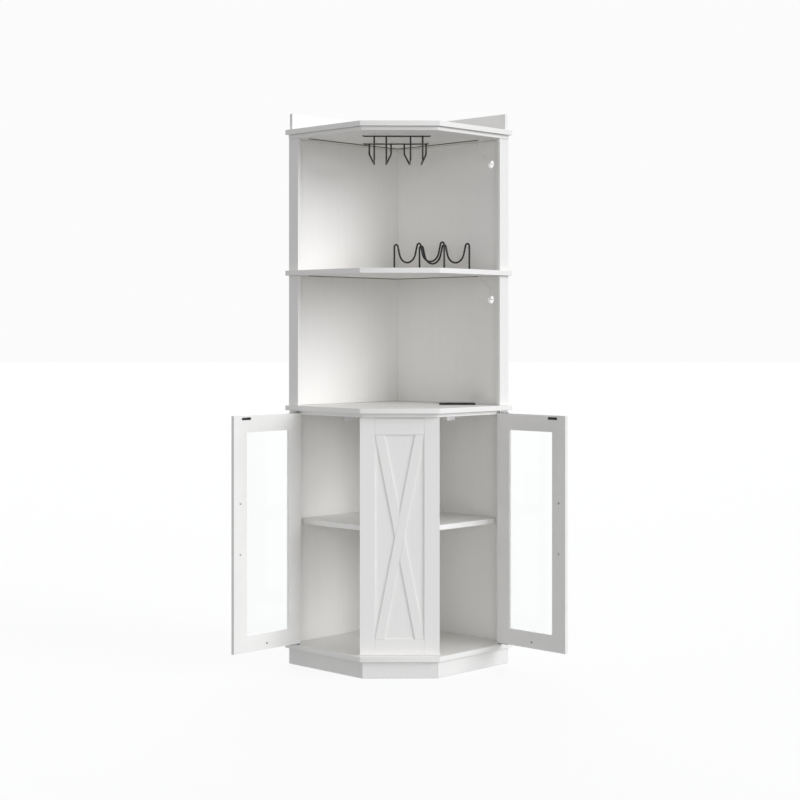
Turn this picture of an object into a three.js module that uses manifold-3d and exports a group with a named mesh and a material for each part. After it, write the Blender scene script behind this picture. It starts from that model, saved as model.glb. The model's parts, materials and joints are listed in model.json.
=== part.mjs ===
// A white corner bar cabinet: open bays above a counter, two glazed doors below.
// Seen from above it is a square whose front corner is cut off: two back walls meet
// in the corner of a room, two side facets run out from them and a centre facet faces
// the room. Millimetres, +Z up, the room is towards -Y. The origin is on the floor,
// halfway between the front edge of the boards and the back corner.

import * as THREE from 'three';
import { mergeVertices } from 'three/addons/utils/BufferGeometryUtils.js';
import Module from 'manifold-3d';

const wasm = await Module();
wasm.setup();

// Plan of the cabinet
const wallRun = 525; // each back side, from the back corner to the end of its side facet
const frontWidth = 250; // the centre facet
const carcassInset = 14; // posts and plinth stand back from the board edge
const topLinerInset = 12;
const counterLinerInset = 16; // clear of the doors' hinge ends as they swing
const wallInset = 2; // back walls stand back from the board edge

// Heights, from the floor upwards
const plinthHeight = 54;
const boardThick = 16;
const lowerOpening = 747;
const linerThick = 13; // second layer glued under the counter and under the top
const middleOpening = 424;
const upperOpening = 431;
const guardHeight = 54;

// Sheet parts
const wallThick = 15;
const postThick = 12;
const postWidth = 44;
const plinthThick = 15;
const guardThick = 12;
const guardSetback = 20; // the guards stop short of the side facets
const seatGap = 0.3; // clearance where two pieces are fitted to each other
const cutOverrun = 5; // how far a cutter runs past the face that it opens

// Shelf behind the doors, on four pins in the walls
const shelfHeight = 405; // top of the shelf above the bottom board
const shelfInset = 40; // its front edge stands back from the side facets
const shelfNotchAlong = 25; // corner cut away beside each post
const shelfNotchDeep = 20;
const shelfPinRadius = 2.5;
const shelfPinReach = 9; // into the shelf's space and into the wall alike
const shelfPinFrontInset = 130;
const shelfPinFromCorner = 95; // the rear pins, from the back corner

// Centre panel with the raised X
const panelInset = 26; // face of its frame behind the front edge of the boards
const panelFrameThick = 4;
const panelBackThick = 15;
const panelSideReach = 0.3; // half width beyond half of the centre facet
const panelStileWide = 48;
const panelRailTall = 50;
const panelTopReveal = 4; // shadow gap over the top rail
const braceThick = 3;
const braceAcross = 28.5; // width of a brace measured level

// Glazed doors
const doorThick = 12;
const doorMemberShare = 0.188; // stiles and rails alike, of the width of the door
const doorBottomGap = 5;
const doorTopGap = 8;
const doorFreeEnd = 19; // free end, along the side facet from its front corner, when shut
const hingeReveal = 1.1; // between the hinge end and the post
const pivotFromEnd = 7.2; // pivot axis from the hinge end
const doorOpenAngle = 90; // degrees, as the cabinet stands
const rebateWide = 7; // ledge around the window, cut from the outer face
const rebateDeep = 5;
const glassThick = 4;

// Pivot hinges at the top and bottom of each door
const pivotPlateLong = 42;
const pivotPlateWide = 9;
const pivotPlateThick = 2.4;
const pivotEndClear = 0.5;
const pivotCollarRadius = 4;
const pivotPinRadius = 2.5;
const pivotPinLong = 9;
const pivotBoreClear = 0.4;
const pivotBoreDeep = 11;

// Door furniture
const handleSpan = 160; // centre to centre of its two feet
const handleOverhang = 14;
const handleBarRadius = 4;
const handleStandoff = 20; // bar axis in front of the door face
const handleFootRadius = 3.6;
const handleMid = 391; // middle of the handle above the door's lower edge
const screwRadius = 1.9;
const screwHeadRadius = 3.5;
const screwHeadTall = 1.6;
const screwIntoFoot = 6;
const strikeLong = 36;
const strikeTall = 8;
const strikeThick = 1.5;
const strikeFromFreeEnd = 33;
const strikeFromTop = 6;
const catchTall = 11;
const catchDeep = 16;
const catchSetback = 15; // its pole face, measured like the insets

// Stemware rack under the top
const rackWire = 2.75; // radius of the hanging wires
const rackBarWire = 2; // radius of the two cross bars
const rackOffCentre = 2.5; // the rack hangs a little left of the middle
const rackBarOffCentre = 8.5; // its cross bars reach further on the left
const rackBarHalf = 106.5;
const rackBarSpacing = 216; // front bar to rear bar
const rackFromCorner = 246; // rear bar in front of the back corner of the boards
const rackDrop = 73.5; // rails below the cross bars
const rackRearDrop = 34; // straight part of the rear legs
const rackRailInner = 39; // rails from the middle of the rack
const rackRailOuter = 78;
const rackFootInner = 22; // the same wires where they meet the rear bar
const rackFootOuter = 95;
const rackRailLong = 164;
const rackBend = 9;
const rackTabRadius = 4.5;
const rackTabThick = 2;

// Bottle rack on the middle shelf
const bottleWire = 3;
const bottlePitch = 105;
const bottleCradleRadius = 38;
const bottlePeakRadius = 8.5;
const bottleCradleDeep = 61.5; // peak to cradle bottom, on the wire's axis
const bottleCradleHeight = 30; // cradle bottom above the shelf, on the wire's axis
const bottleWireSpacing = 122;
const bottleFromWall = 50; // rear wire from the inner face of the right wall
const bottleMidInset = 242; // middle peaks, measured like the insets
const bottleFootReach = 10; // foot wires past the legs

// Light strips and their leads
const stripWide = 10;
const stripThick = 3;
const topStripFromEdge = 60; // from the back edge of the boards to the strip's middle
const topStripLeftEnd = 51; // insets of its two ends
const topStripRightEnd = 97;
const middleStripFromEdge = 45;
const middleStripLeftEnd = 64;
const middleStripRightEnd = 110;
const leadRadius = 1.25;
const leadBend = 4;
const leadStub = 7; // straight lead past the right end of the strip
const topLeadDrop = 28; // hangs this far before it slants to the hole
const middleLeadDrop = 39; // slants this far down to the wall, then runs down it
const leadHoleRadius = 13.5;
const leadHoleInset = 79;
const leadHoleDrop = 77; // hole below the surface that carries the strip

// Power outlet in the counter
const outletLong = 118;
const outletWide = 62;
const outletRim = 6;
const outletBodyLong = 104;
const outletBodyWide = 48;
const outletBodyDeep = 28; // below the top of the counter
const outletCorner = 8;
const outletCutClear = 1;
const outletFromWall = 76; // its middle from the inner face of the right wall
const outletMidInset = 159; // measured like the insets
const outletWellRadius = 17;
const outletWellDeep = 3;
const outletWellSpacing = 50;

// Facets in the round parts
const roundSides = 24;
const wireSides = 8;
const bendSteps = 4;

// Worked out from the sizes above
const root2 = Math.SQRT2;
const halfFront = frontWidth / 2;
const halfWide = wallRun / root2;
const depth = 2 * halfWide - halfFront;
const frontY = -depth / 2;
const facetRun = wallRun - frontWidth / root2;
const mitreSlope = Math.tan(Math.PI / 8);
const bottomBase = plinthHeight;
const bottomTop = bottomBase + boardThick;
const counterLinerBase = bottomTop + lowerOpening;
const counterBase = counterLinerBase + linerThick;
const counterTop = counterBase + boardThick;
const middleBase = counterTop + middleOpening;
const middleTop = middleBase + boardThick;
const topLinerBase = middleTop + upperOpening;
const topBase = topLinerBase + linerThick;
const topTop = topBase + boardThick;
const wallOuter = facetRun - wallInset; // along the side facet
const wallInner = wallOuter - wallThick;
const postInner = wallOuter - postWidth;
const postBack = carcassInset + postThick;

// Finishes
function finish(color, roughness, metalness, opacity = 1) {
  return new THREE.MeshStandardMaterial({
    color, roughness, metalness, opacity, transparent: opacity < 1,
  });
}

const whiteBoard = finish(0xf2f1ee, 0.45, 0);
const blackWire = finish(0x17171a, 0.5, 0.6);
const clearGlass = finish(0xdfeae6, 0.05, 0, 0.3);
const blackPlastic = finish(0x121214, 0.4, 0);
const whitePlastic = finish(0xefeeeb, 0.4, 0);
const greySteel = finish(0x8e9092, 0.35, 0.9);
const stripGrey = finish(0x6d6e70, 0.5, 0);

const cabinet = new THREE.Group();

function add(parent, name, geometry, material, x = 0, y = 0, z = 0) {
  const mesh = new THREE.Mesh(geometry, material);
  mesh.name = name;
  mesh.position.set(x, y, z);
  parent.add(mesh);
  return mesh;
}

// Solids joined and cut
function toSolid(geometry) {
  const bare = geometry.clone();
  bare.deleteAttribute('normal');
  bare.deleteAttribute('uv');
  const welded = mergeVertices(bare);
  return new wasm.Manifold(new wasm.Mesh({
    numProp: 3,
    vertProperties: new Float32Array(welded.attributes.position.array),
    triVerts: new Uint32Array(welded.index.array),
  }));
}

function toGeometry(solid) {
  const mesh = solid.getMesh();
  const geometry = new THREE.BufferGeometry();
  geometry.setAttribute('position', new THREE.BufferAttribute(mesh.vertProperties, 3));
  geometry.setIndex(new THREE.BufferAttribute(mesh.triVerts, 1));
  return geometry;
}

function cut(geometry, ...cutters) {
  const left = cutters.reduce((solid, cutter) => solid.subtract(toSolid(cutter)), toSolid(geometry));
  return toGeometry(left);
}

function join(...geometries) {
  return toGeometry(geometries.map(toSolid).reduce((whole, solid) => whole.add(solid)));
}

// Plan geometry: a place is given along a side facet from its front corner,
// and by its inset from the line of that facet towards the back
function planPoint(side, along, inset) {
  return new THREE.Vector2(
    side * (halfFront + (along - inset) / root2),
    frontY + (along + inset) / root2,
  );
}

function place(side, along, inset, z) {
  const point = planPoint(side, along, inset);
  return new THREE.Vector3(point.x, point.y, z);
}

function prism(points, height) {
  return new THREE.ExtrudeGeometry(new THREE.Shape(points), { depth: height, bevelEnabled: false });
}

// An upright block between two lines along and two lines inset
function planBlock(side, alongFrom, alongTo, insetFrom, insetTo, height) {
  const points = [
    planPoint(side, alongFrom, insetFrom),
    planPoint(side, alongTo, insetFrom),
    planPoint(side, alongTo, insetTo),
    planPoint(side, alongFrom, insetTo),
  ];
  return prism(points, height);
}

function box(x, y, z, sizeX, sizeY, sizeZ) {
  const block = new THREE.BoxGeometry(sizeX, sizeY, sizeZ);
  return block.translate(x + sizeX / 2, y + sizeY / 2, z + sizeZ / 2);
}

function upright(radius, height, x, y, z) {
  const rod = new THREE.CylinderGeometry(radius, radius, height, roundSides);
  return rod.rotateX(Math.PI / 2).translate(x, y, z + height / 2);
}

// The outline of a board, set back from the centre facet, side facets and walls
function boardOutline(centreInset, facetInset, backInset) {
  const cornerX = halfFront - facetInset * root2 + centreInset;
  const endX = halfWide - (facetInset + backInset) / root2;
  const endY = frontY + halfWide - halfFront + (facetInset - backInset) / root2;
  return [
    new THREE.Vector2(-cornerX, frontY + centreInset),
    new THREE.Vector2(cornerX, frontY + centreInset),
    new THREE.Vector2(endX, endY),
    new THREE.Vector2(0, frontY + depth - backInset * root2),
    new THREE.Vector2(-endX, endY),
  ];
}

// The same outline with one inset all along the front
function evenOutline(inset, backInset) {
  return boardOutline(inset, inset, backInset);
}

// Wire work: a path through chosen places, and a tube along it
class PlacedPath extends THREE.Curve {
  constructor(places) {
    super();
    this.places = places;
  }

  nearest(u) {
    return Math.round(u * (this.places.length - 1));
  }

  getPointAt(u) {
    return this.places[this.nearest(u)].clone();
  }

  getTangentAt(u) {
    const index = this.nearest(u);
    const before = this.places[Math.max(index - 1, 0)];
    const after = this.places[Math.min(index + 1, this.places.length - 1)];
    return after.clone().sub(before).normalize();
  }
}

function roundBends(corners, radius) {
  const places = [corners[0]];
  for (let i = 1; i < corners.length - 1; i += 1) {
    const back = corners[i - 1].clone().sub(corners[i]).normalize();
    const ahead = corners[i + 1].clone().sub(corners[i]).normalize();
    const half = back.angleTo(ahead) / 2;
    const reach = radius / Math.tan(half);
    const centre = back.clone().add(ahead).normalize();
    centre.multiplyScalar(radius / Math.sin(half)).add(corners[i]);
    const from = back.multiplyScalar(reach).add(corners[i]).sub(centre);
    const to = ahead.multiplyScalar(reach).add(corners[i]).sub(centre);
    const turn = from.angleTo(to);
    for (let step = 0; step <= bendSteps; step += 1) {
      const share = step / bendSteps;
      const place = from.clone().multiplyScalar(Math.sin((1 - share) * turn));
      place.addScaledVector(to, Math.sin(share * turn));
      places.push(place.divideScalar(Math.sin(turn)).add(centre));
    }
  }
  places.push(corners[corners.length - 1]);
  return places;
}

function tube(places, radius) {
  const ring = [];
  for (let i = 0; i < wireSides; i += 1) {
    const angle = 2 * Math.PI * (i + 0.5) / wireSides;
    ring.push(new THREE.Vector2(radius * Math.cos(angle), radius * Math.sin(angle)));
  }
  return new THREE.ExtrudeGeometry(new THREE.Shape(ring), {
    extrudePath: new PlacedPath(places),
    steps: places.length - 1,
    bevelEnabled: false,
  });
}

const sides = [['left', -1], ['right', 1]];

// Pivot axis of a door, in plan
const pivotAlong = postInner - hingeReveal - pivotFromEnd;
const pivotInset = doorThick / 2;
const doorWide = postInner - hingeReveal - doorFreeEnd;
const doorMemberWide = doorWide * doorMemberShare;
const doorBase = bottomTop + doorBottomGap;
const doorHeight = lowerOpening + linerThick - doorBottomGap - doorTopGap;

// Level boards, from the bottom one to the top one
function pivotBores(z) {
  return sides.map(([, side]) => {
    const axis = planPoint(side, pivotAlong, pivotInset);
    return upright(pivotPinRadius + pivotBoreClear, pivotBoreDeep + cutOverrun, axis.x, axis.y, z);
  });
}

const outletMid = planPoint(1, wallInner - outletFromWall, outletMidInset);

function outletCut(z, height) {
  const long = outletBodyLong + 2 * outletCutClear;
  const wide = outletBodyWide + 2 * outletCutClear;
  const reach = height + 2 * cutOverrun;
  return box(outletMid.x - long / 2, outletMid.y - wide / 2, z - cutOverrun, long, wide, reach);
}

function addBoards() {
  const whole = evenOutline(0, 0);
  const bottom = cut(prism(whole, boardThick), ...pivotBores(boardThick - pivotBoreDeep));
  add(cabinet, 'bottom_board', bottom, whiteBoard, 0, 0, bottomBase);

  const linerHeight = linerThick - seatGap;
  const counterLiner = prism(evenOutline(counterLinerInset, wallInset), linerHeight);
  const openLiner = cut(counterLiner, outletCut(0, linerHeight));
  add(cabinet, 'counter_liner', openLiner, whiteBoard, 0, 0, counterLinerBase);

  const counter = cut(
    prism(whole, boardThick), ...pivotBores(-cutOverrun), outletCut(0, boardThick));
  add(cabinet, 'counter_board', counter, whiteBoard, 0, 0, counterBase);

  add(cabinet, 'middle_shelf', prism(whole, boardThick), whiteBoard, 0, 0, middleBase);

  const topLiner = prism(evenOutline(topLinerInset, wallInset), linerHeight);
  add(cabinet, 'top_liner', topLiner, whiteBoard, 0, 0, topLinerBase);
  add(cabinet, 'top_board', prism(whole, boardThick), whiteBoard, 0, 0, topBase);
}

// A level rod square to a back wall, between two places along the side facet's direction
function wallRod(side, inset, radius, alongFrom, alongTo, z) {
  const rod = new THREE.CylinderGeometry(radius, radius, alongTo - alongFrom, roundSides);
  const middle = planPoint(side, (alongFrom + alongTo) / 2, inset);
  return rod.rotateZ(-side * Math.PI / 4).translate(middle.x, middle.y, z);
}

// Walls and posts of one storey; the left wall runs into the corner, the right one meets it
function leadHole(side, height) {
  if (side < 0) {
    return [];
  }
  const z = height + seatGap - leadHoleDrop;
  return [wallRod(side, leadHoleInset, leadHoleRadius,
    wallInner - cutOverrun, wallOuter + cutOverrun, z)];
}

function shelfPinHoles(side) {
  const z = shelfPinZ - bottomTop - seatGap;
  const bore = shelfPinRadius + seatGap;
  return shelfPinInsets.map(([, inset]) => wallRod(side, inset, bore,
    wallInner - cutOverrun, wallInner + shelfPinReach + seatGap, z));
}

function addStorey(storey, base, opening, holes) {
  const height = opening - 2 * seatGap;
  for (const [name, side] of sides) {
    const cornerInset = side < 0 ? wallRun - wallInset : wallRun - wallInset - wallThick - seatGap;
    const panel = planBlock(side, wallInner, wallOuter, postBack + seatGap, cornerInset, height);
    const drilled = cut(panel, ...holes(side, height));
    add(cabinet, `${storey}_wall_${name}`, drilled, whiteBoard, 0, 0, base + seatGap);

    const post = planBlock(side, postInner, wallOuter, carcassInset, postBack, height);
    add(cabinet, `${storey}_post_${name}`, post, whiteBoard, 0, 0, base + seatGap);
  }
}

// Guards that stand on the top board along both walls
function addGuards() {
  for (const [name, side] of sides) {
    const endInset = side < 0 ? wallRun : wallRun - guardThick - seatGap;
    const rail = planBlock(
      side, facetRun - guardThick, facetRun, guardSetback, endInset, guardHeight - seatGap);
    add(cabinet, `guard_${name}`, rail, whiteBoard, 0, 0, topTop + seatGap);
  }
}

// Plinth: mitred at the front corners, square behind
function addPlinth() {
  const height = plinthHeight - seatGap;
  const inner = carcassInset + plinthThick;
  const outerX = halfFront - mitreSlope * carcassInset - seatGap;
  const innerX = halfFront - mitreSlope * inner - seatGap;
  const front = prism([
    new THREE.Vector2(-outerX, frontY + carcassInset),
    new THREE.Vector2(outerX, frontY + carcassInset),
    new THREE.Vector2(innerX, frontY + inner),
    new THREE.Vector2(-innerX, frontY + inner),
  ], height);
  add(cabinet, 'plinth_front', front, whiteBoard);

  for (const [name, side] of sides) {
    const board = prism([
      planPoint(side, mitreSlope * carcassInset + seatGap, carcassInset),
      planPoint(side, wallOuter, carcassInset),
      planPoint(side, wallOuter, inner),
      planPoint(side, mitreSlope * inner + seatGap, inner),
    ], height);
    add(cabinet, `plinth_${name}`, board, whiteBoard);

    const cornerInset = side < 0 ? wallRun - wallInset : wallRun - wallInset - plinthThick - seatGap;
    const rear = planBlock(
      side, wallOuter - plinthThick, wallOuter, inner + seatGap, cornerInset, height);
    add(cabinet, `plinth_rear_${name}`, rear, whiteBoard);
  }
}

// Shelf behind the doors, notched beside the posts
const shelfBase = bottomTop + shelfHeight - boardThick;
const shelfPinZ = shelfBase - seatGap - shelfPinRadius;
const shelfPinInsets = [['front', shelfPinFrontInset], ['rear', wallRun - shelfPinFromCorner]];

function addLowerShelf() {
  const shelfWall = wallInner - seatGap;
  const notchAlong = shelfWall - shelfNotchAlong;
  const backCorner = frontY + depth - (wallInset + wallThick + seatGap) * root2;
  const centreInset = panelInset + panelFrameThick + panelBackThick + 2 * seatGap;
  const cornerX = halfFront - shelfInset * root2 + centreInset;
  const half = (side) => [
    new THREE.Vector2(side * cornerX, frontY + centreInset),
    planPoint(side, notchAlong, shelfInset),
    planPoint(side, notchAlong, shelfInset + shelfNotchDeep),
    planPoint(side, shelfWall, shelfInset + shelfNotchDeep),
  ];
  const outline = [...half(1), new THREE.Vector2(0, backCorner), ...half(-1).reverse()];
  add(cabinet, 'lower_shelf', prism(outline, boardThick), whiteBoard, 0, 0, shelfBase);

  for (const [name, side] of sides) {
    for (const [place, inset] of shelfPinInsets) {
      const pin = wallRod(side, inset, shelfPinRadius,
        wallInner - shelfPinReach, wallInner + shelfPinReach, shelfPinZ);
      add(cabinet, `shelf_pin_${place}_${name}`, pin, greySteel);
    }
  }
}

// Centre panel: a back sheet, stiles and rails in front of it, and two braces halved together
const panelHalf = halfFront + panelSideReach;
const panelHeight = lowerOpening - 2 * seatGap;
const panelBase = bottomTop + seatGap;
const panelFaceY = frontY + panelInset;
const recessHalf = panelHalf - panelStileWide;
const recessBase = panelBase + panelRailTall;
const recessTall = panelHeight - panelTopReveal - 2 * panelRailTall;

// A brace leans from one bottom corner of the recess to the opposite top corner
function leaningBrace(lean, widen, thick) {
  const left = -recessHalf + seatGap - widen;
  const right = recessHalf - seatGap + widen;
  const across = braceAcross + 2 * widen;
  const points = [
    new THREE.Vector2(lean * left, seatGap),
    new THREE.Vector2(lean * (left + across), seatGap),
    new THREE.Vector2(lean * right, recessTall - seatGap),
    new THREE.Vector2(lean * (right - across), recessTall - seatGap),
  ];
  return prism(points, thick).rotateX(Math.PI / 2);
}

function addPanel() {
  const frameY = panelFaceY;
  const backY = panelFaceY + panelFrameThick + seatGap;
  const sheet = box(-panelHalf, 0, 0, 2 * panelHalf, panelBackThick, panelHeight);
  add(cabinet, 'panel_back', sheet, whiteBoard, 0, backY, panelBase);

  for (const [name, side] of sides) {
    const stileX = side < 0 ? -panelHalf : recessHalf;
    const stile = box(stileX, 0, 0, panelStileWide, panelFrameThick, panelHeight);
    add(cabinet, `panel_stile_${name}`, stile, whiteBoard, 0, frameY, panelBase);
  }
  const railHalf = recessHalf - seatGap;
  const rail = () => box(-railHalf, 0, 0, 2 * railHalf, panelFrameThick, panelRailTall);
  add(cabinet, 'panel_bottom_rail', rail(), whiteBoard, 0, frameY, panelBase);
  add(cabinet, 'panel_top_rail', rail(), whiteBoard, 0, frameY, recessBase + recessTall);

  // The rising brace keeps its face and loses its back at the crossing, the falling one the reverse
  const halfThick = braceThick / 2;
  const lap = halfThick + seatGap / 2;
  const rising = leaningBrace(1, 0, braceThick);
  const falling = leaningBrace(-1, 0, braceThick);
  const backLap = leaningBrace(-1, seatGap, lap + cutOverrun).translate(0, cutOverrun, 0);
  const faceLap = leaningBrace(1, seatGap, lap + cutOverrun).translate(0, lap - braceThick, 0);
  const braceY = backY - seatGap;
  add(cabinet, 'panel_brace_rising', cut(rising, backLap), whiteBoard, 0, braceY, recessBase);
  add(cabinet, 'panel_brace_falling', cut(falling, faceLap), whiteBoard, 0, braceY, recessBase);
}

// Doors. Each hangs in a group whose origin is the foot of its pivot axis.
// There x runs from the axis to the free end, and y points out on the right door, in on the left.
const doorStart = -pivotFromEnd;
const doorEnd = doorWide - pivotFromEnd;
const windowStart = doorStart + doorMemberWide;
const windowEnd = doorEnd - doorMemberWide;
const windowTall = doorHeight - 2 * doorMemberWide;

function handleHeights() {
  return [handleMid - handleSpan / 2, handleMid + handleSpan / 2];
}

// A rod through the thickness of the door
function doorRod(radius, x, z, yFrom, yTo) {
  const long = Math.abs(yTo - yFrom);
  const rod = new THREE.CylinderGeometry(radius, radius, long, roundSides);
  return rod.translate(x, (yFrom + yTo) / 2, z);
}

const handleX = doorEnd - doorMemberWide / 2;

function doorFrame(outward) {
  const slab = box(doorStart, -doorThick / 2, 0, doorWide, doorThick, doorHeight);
  const through = doorThick + 2 * cutOverrun;
  const window = box(windowStart, -through / 2, doorMemberWide,
    windowEnd - windowStart, through, windowTall);
  const rebateReach = rebateDeep + cutOverrun;
  const rebateMid = outward * (doorThick / 2 - rebateDeep + rebateReach / 2);
  const rebate = box(windowStart - rebateWide, rebateMid - rebateReach / 2,
    doorMemberWide - rebateWide, windowEnd - windowStart + 2 * rebateWide, rebateReach,
    windowTall + 2 * rebateWide);
  const drill = screwRadius + seatGap;
  const holes = handleHeights().map((z) => doorRod(drill, handleX, z, -through / 2, through / 2));
  return cut(slab, window, rebate, ...holes);
}

function doorPane(outward) {
  const edge = rebateWide - seatGap;
  const middle = outward * (doorThick / 2 - rebateDeep + seatGap + glassThick / 2);
  return box(windowStart - edge, middle - glassThick / 2, doorMemberWide - edge,
    windowEnd - windowStart + 2 * edge, glassThick, windowTall + 2 * edge);
}

function pivotHinge(plateZ, pinUp) {
  const plate = box(doorStart + pivotEndClear, -pivotPlateWide / 2, plateZ,
    pivotPlateLong, pivotPlateWide, pivotPlateThick);
  const gap = pinUp ? doorTopGap : doorBottomGap;
  const collarTall = gap - 2 * seatGap;
  const collarZ = pinUp ? doorHeight + seatGap : seatGap - doorBottomGap;
  const collar = upright(pivotCollarRadius, collarTall, 0, 0, collarZ);
  const pinTall = pivotPinLong + collarTall;
  const pinZ = pinUp ? collarZ : collarZ - pivotPinLong;
  return join(plate, collar, upright(pivotPinRadius, pinTall, 0, 0, pinZ));
}

function handle(outward) {
  const [low, high] = handleHeights();
  const barY = outward * (doorThick / 2 + handleStandoff);
  const footY = outward * (doorThick / 2 + seatGap);
  const barLong = high - low + 2 * handleOverhang;
  const bar = upright(handleBarRadius, barLong, handleX, barY, low - handleOverhang);
  const feet = [low, high].map((z) => doorRod(handleFootRadius, handleX, z, footY, barY));
  const boreEnd = outward * (doorThick / 2 + screwIntoFoot + 2 * seatGap);
  const bores = [low, high].map((z) => doorRod(screwRadius + seatGap, handleX, z, 0, boreEnd));
  return cut(join(bar, ...feet), ...bores);
}

function handleScrew(outward, z) {
  const faceY = -outward * (doorThick / 2 + seatGap);
  const head = doorRod(screwHeadRadius, handleX, z, faceY - outward * screwHeadTall, faceY);
  const tip = outward * (doorThick / 2 + seatGap + screwIntoFoot);
  return join(head, doorRod(screwRadius, handleX, z, faceY, tip));
}

function strikePlate(inward) {
  const x = doorEnd - strikeFromFreeEnd - strikeLong;
  const y = inward * (doorThick / 2 + seatGap + strikeThick / 2) - strikeThick / 2;
  const z = doorHeight - strikeFromTop - strikeTall;
  return box(x, y, z, strikeLong, strikeThick, strikeTall);
}

function addDoors() {
  for (const [name, side] of sides) {
    const hung = new THREE.Group();
    const axis = planPoint(side, pivotAlong, pivotInset);
    const shutTurn = side > 0 ? -135 : -45;
    hung.position.set(axis.x, axis.y, doorBase);
    hung.rotation.z = THREE.MathUtils.degToRad(shutTurn + side * doorOpenAngle);
    cabinet.add(hung);

    add(hung, `door_${name}_frame`, doorFrame(side), whiteBoard);
    add(hung, `door_${name}_glass`, doorPane(side), clearGlass);
    const lowPlate = -seatGap - pivotPlateThick;
    add(hung, `pivot_lower_${name}`, pivotHinge(lowPlate, false), greySteel);
    const highPlate = doorHeight + seatGap;
    add(hung, `pivot_upper_${name}`, pivotHinge(highPlate, true), greySteel);
    add(hung, `handle_${name}`, handle(side), blackWire);
    const [low, high] = handleHeights();
    add(hung, `handle_screw_lower_${name}`, handleScrew(side, low), greySteel);
    add(hung, `handle_screw_upper_${name}`, handleScrew(side, high), greySteel);
    add(hung, `strike_plate_${name}`, strikePlate(-side), blackWire);
  }
}

// Magnetic catches under the counter liner, where the strike plates arrive
function addCatches() {
  const strikeEnd = doorFreeEnd + strikeFromFreeEnd;
  for (const [name, side] of sides) {
    const body = planBlock(side, strikeEnd, strikeEnd + strikeLong, catchSetback,
      catchSetback + catchDeep, catchTall - seatGap);
    add(cabinet, `catch_${name}`, body, whitePlastic, 0, 0, counterLinerBase - catchTall);
  }
}

// Stemware rack: two cross bars and four wires bent into rails
function addStemwareRack() {
  const barZ = topLinerBase - seatGap - rackBarWire;
  const rearBarY = frontY + depth - rackFromCorner;
  const frontBarY = rearBarY - rackBarSpacing;
  const railZ = barZ - rackDrop;
  const pieces = [];
  for (const y of [frontBarY, rearBarY]) {
    const ends = [-rackBarHalf, rackBarHalf].map((x) => new THREE.Vector3(x - rackBarOffCentre, y, barZ));
    pieces.push(tube(ends, rackBarWire));
    for (const end of ends) {
      pieces.push(upright(rackTabRadius, rackTabThick, end.x, y, barZ + rackBarWire - rackTabThick));
    }
  }
  const shapes = [[rackRailInner, rackFootInner], [rackRailOuter, rackFootOuter]];
  for (const [railX, footX] of shapes) {
    for (const [, side] of sides) {
      const corners = [
        new THREE.Vector3(side * railX, frontBarY, barZ),
        new THREE.Vector3(side * railX, frontBarY, railZ),
        new THREE.Vector3(side * railX, frontBarY + rackRailLong, railZ),
        new THREE.Vector3(side * footX, rearBarY, barZ - rackRearDrop),
        new THREE.Vector3(side * footX, rearBarY, barZ),
      ];
      pieces.push(tube(roundBends(corners, rackBend), rackWire).translate(-rackOffCentre, 0, 0));
    }
  }
  add(cabinet, 'stemware_rack', join(...pieces), blackWire);
}

// Bottle rack: two wavy wires with legs, standing on two foot wires.
// The profile runs from one foot over three peaks and two cradles to the other foot.
function bottleProfile() {
  const across = bottlePitch / 2;
  const radii = bottleCradleRadius + bottlePeakRadius;
  const rise = bottleCradleDeep - radii;
  const steep = Math.atan2(rise, across) + Math.asin(radii / Math.hypot(rise, across));
  const peakCentre = bottleCradleHeight + bottleCradleDeep - bottlePeakRadius;
  const cradleCentre = bottleCradleHeight + bottleCradleRadius;
  const footZ = bottleWire + seatGap;
  const arc = (x, z, radius, from, to) => Array.from({ length: 2 * bendSteps + 1 }, (_, step) => {
    const angle = from + (to - from) * step / (2 * bendSteps);
    return new THREE.Vector2(x + radius * Math.sin(angle), z + radius * Math.cos(angle));
  });
  const peak = (x, from, to) => arc(x, peakCentre, bottlePeakRadius, from, to);
  const cradle = (x) => arc(x, cradleCentre, -bottleCradleRadius, steep, -steep);
  const legX = bottlePitch + bottlePeakRadius;
  return [
    new THREE.Vector2(-legX, footZ),
    ...peak(-bottlePitch, -Math.PI / 2, steep),
    ...cradle(-across),
    ...peak(0, -steep, steep),
    ...cradle(across),
    ...peak(bottlePitch, -steep, Math.PI / 2),
    new THREE.Vector2(legX, footZ),
  ];
}

function addBottleRack() {
  const rear = wallInner - bottleFromWall;
  const front = rear - bottleWireSpacing;
  const wires = [front, rear].map((along) => {
    const places = bottleProfile().map((point) => place(1, along, bottleMidInset + point.x, point.y));
    return tube(places, bottleWire);
  });
  const legX = bottlePitch + bottlePeakRadius;
  const feet = [-legX, legX].map((x) => {
    const inset = bottleMidInset + x;
    const z = bottleWire + seatGap;
    const ends = [front - bottleFootReach, rear + bottleFootReach];
    return tube(ends.map((along) => place(1, along, inset, z)), bottleWire);
  });
  add(cabinet, 'bottle_rack', join(...wires, ...feet), blackWire, 0, 0, middleTop);
}

// Light strips: a chevron under a board. The lead leaves its right end, and goes by a place
// that each strip has of its own to the hole in the right wall and out through it.
const leadWallAlong = wallInner - seatGap - leadRadius;

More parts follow.
